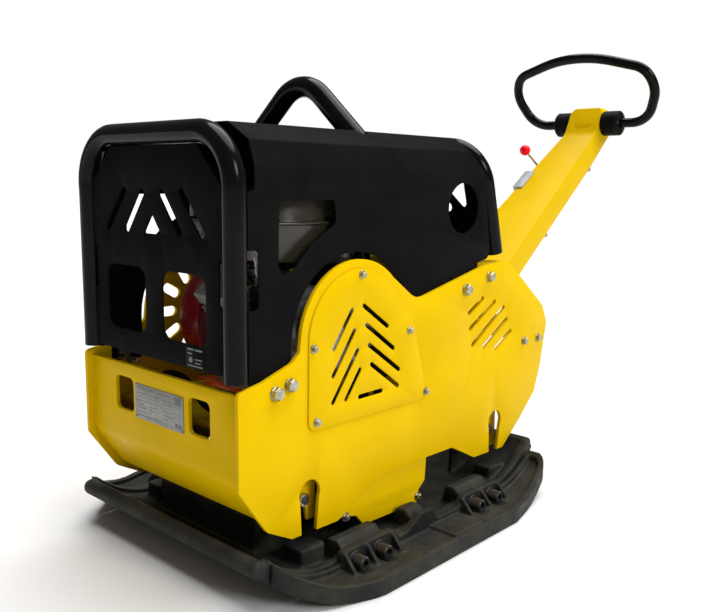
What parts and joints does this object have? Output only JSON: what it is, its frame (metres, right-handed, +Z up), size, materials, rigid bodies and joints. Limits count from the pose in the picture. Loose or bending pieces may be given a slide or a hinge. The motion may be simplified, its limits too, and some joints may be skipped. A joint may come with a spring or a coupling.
{
  "type": "plate compactor",
  "caption": "Reversible plate compactor: curved cast base plate with bolt-on extension plates, sprung frame, engine under a tube-framed guard, tilting drawbar with bow handle.",
  "frame": {"origin": "on the ground, at the middle of the base plate's flat underside", "axes": "+Z up, +Y towards the operator's handle, +X towards the belt side"},
  "size_m": [0.768, 1.6567, 1.095],
  "materials": {
    "cast_black": "black paint over a cast skin",
    "yellow_paint": "gloss powder coat",
    "guard_black": "satin powder coat",
    "black_steel": "black oxide and gloss black paint",
    "steel": "machined",
    "zinc": "zinc plate",
    "rubber": "moulded rubber",
    "engine_alloy": "die cast",
    "panel_grey": "brushed",
    "blower_red": "gloss paint",
    "dark_plastic": "moulded",
    "plate_silver": "printed foil"
  },
  "bodies": {
    "chassis": {"base_plate": "cast_black", "extension_plate_left": "cast_black", "extension_plate_right": "cast_black", "exciter_housing": "cast_black", "exciter_cover_left": "cast_black", "exciter_cover_right": "cast_black", "side_plate_left": "yellow_paint", "side_plate_right": "yellow_paint", "front_beam": "yellow_paint", "rear_beam": "yellow_paint", "engine_deck": "yellow_paint", "belt_cover": "yellow_paint", "lower_belt_cover": "yellow_paint", "mount_bracket_front_left": "yellow_paint", "mount_bracket_front_right": "yellow_paint", "mount_bracket_rear_left": "yellow_paint", "mount_bracket_rear_right": "yellow_paint", "front_hoop": "guard_black", "front_guard_panel": "guard_black", "hood": "guard_black", "rear_hoop": "guard_black", "rear_guard_panel": "guard_black", "lifting_hoop": "guard_black", "extension_bolt_left_1": "black_steel", "extension_bolt_left_2": "black_steel", "extension_bolt_left_3": "black_steel", "extension_bolt_left_4": "black_steel", "extension_bolt_right_1": "black_steel", "extension_bolt_right_2": "black_steel", "extension_bolt_right_3": "black_steel", "extension_bolt_right_4": "black_steel", "drawbar_pivot": "black_steel", "drive_belt": "rubber", "drawbar_stop": "rubber", "shock_mount_front_left": "rubber", "shock_mount_front_right": "rubber", "shock_mount_rear_left": "rubber", "shock_mount_rear_right": "rubber", "crankcase": "engine_alloy", "cylinder": "engine_alloy", "blower_housing": "blower_red", "muffler": "dark_plastic", "air_filter": "dark_plastic", "fuel_tank": "dark_plastic", "battery": "dark_plastic", "data_plate": "plate_silver"},
    "drawbar": {"drawbar_arm": "yellow_paint", "drawbar_cover": "yellow_paint", "control_panel": "panel_grey"},
    "handle": {"handle_axle": "steel", "handle_bush_left": "rubber", "handle_bush_right": "rubber", "handle_loop": "black_steel"},
    "throttle": {"throttle_lever": "zinc"},
    "crank": {"crankshaft": "steel", "clutch": "steel"},
    "exciter_front": {"eccentric_shaft_front": "steel", "exciter_pulley": "black_steel"},
    "exciter_rear": {"eccentric_shaft_rear": "steel"},
    "fuel_cap": {"fuel_cap": "dark_plastic"}
  },
  "joints": [
    {"name": "drawbar_tilt", "type": "hinge", "parent": "chassis", "child": "drawbar", "pos_m": [0, 0.44, 0.368], "axis": [1, 0, 0], "range_deg": [0, 55]},
    {"name": "handle_swing", "type": "hinge", "parent": "drawbar", "child": "handle", "pos_m": [0, 1.155, 0.896], "axis": [1, 0, 0], "range_deg": [-25, 25]},
    {"name": "throttle_lever_turn", "type": "hinge", "parent": "drawbar", "child": "throttle", "pos_m": [-0.072, 1, 0.752], "axis": [-1, 0, 0], "range_deg": [0, 50]},
    {"name": "crank_spin", "type": "hinge", "parent": "chassis", "child": "crank", "pos_m": [0, -0.165, 0.43], "axis": [1, 0, 0], "continuous": true},
    {"name": "exciter_front_spin", "type": "hinge", "parent": "chassis", "child": "exciter_front", "pos_m": [0, -0.077, 0.11], "axis": [1, 0, 0], "continuous": true},
    {"name": "exciter_rear_spin", "type": "hinge", "parent": "chassis", "child": "exciter_rear", "pos_m": [0, 0.043, 0.11], "axis": [1, 0, 0], "continuous": true},
    {"name": "fuel_cap_turn", "type": "hinge", "parent": "chassis", "child": "fuel_cap", "pos_m": [0.06, -0.2, 0.71], "axis": [0, 0, 1], "range_deg": [0, 90]}
  ],
  "couplings": [
    {"joint": "exciter_front_spin", "follows": "crank_spin", "ratio": 1.25},
    {"joint": "exciter_rear_spin", "follows": "crank_spin", "ratio": -1.25}
  ]
}
